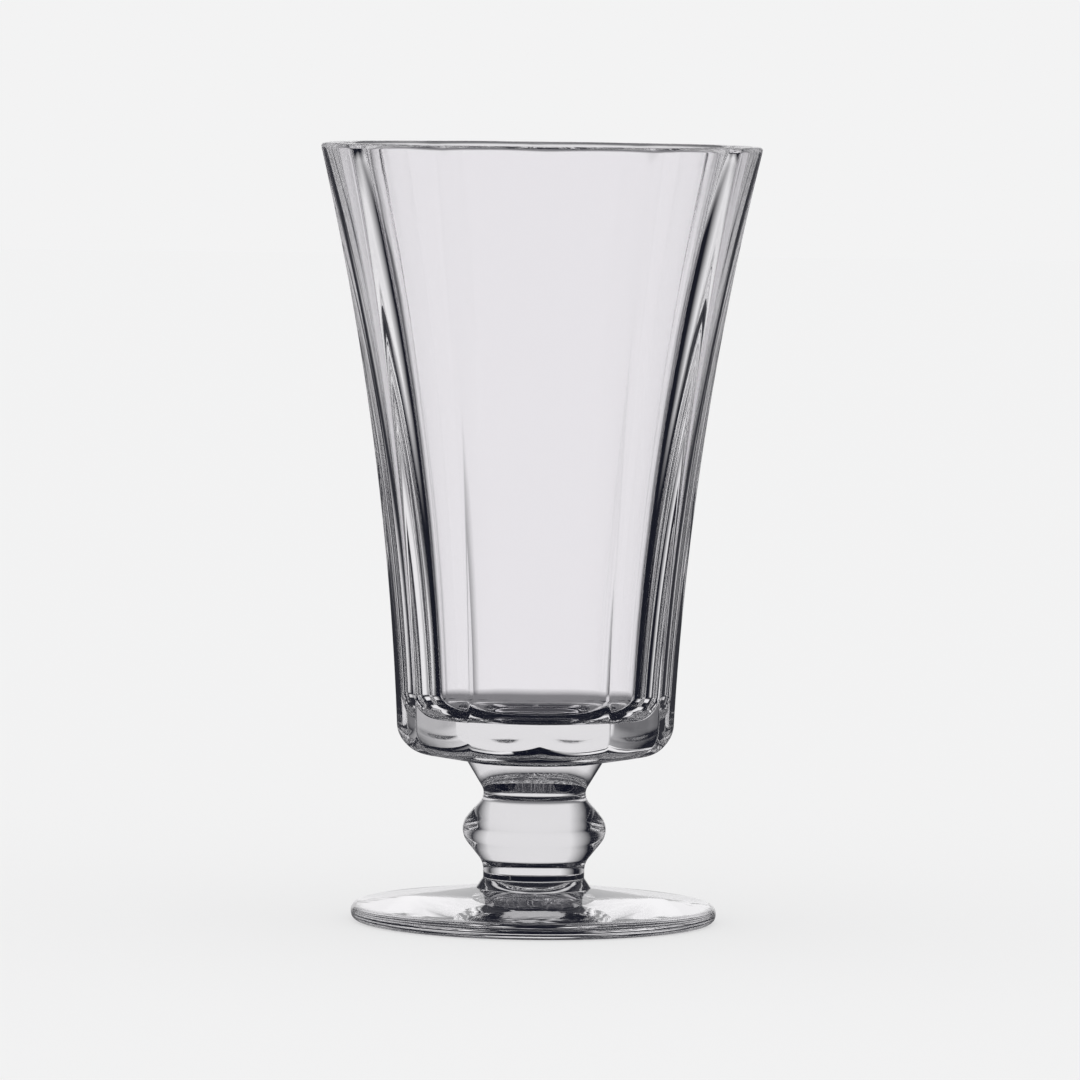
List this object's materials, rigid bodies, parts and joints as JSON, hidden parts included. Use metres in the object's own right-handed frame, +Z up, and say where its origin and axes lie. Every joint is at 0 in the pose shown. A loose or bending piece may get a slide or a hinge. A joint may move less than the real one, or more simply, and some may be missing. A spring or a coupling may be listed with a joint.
{
  "type": "stemmed shot glass",
  "caption": "Clear stemmed shot glass with a flared, flat-panelled bowl, a short knopped stem and a round disc foot.",
  "frame": {"origin": "middle of the foot's flat underside, on the surface that the glass stands on", "axes": "+Z up along the axis of bowl, stem and foot; +X and +Y each pass through a ridge between two panels"},
  "size_m": [0.0522, 0.0522, 0.092],
  "materials": {
    "clear_glass": "clear, colourless, fire-polished"
  },
  "bodies": {
    "root": {"bowl": "clear_glass", "stem": "clear_glass", "foot": "clear_glass"}
  },
  "joints": []
}
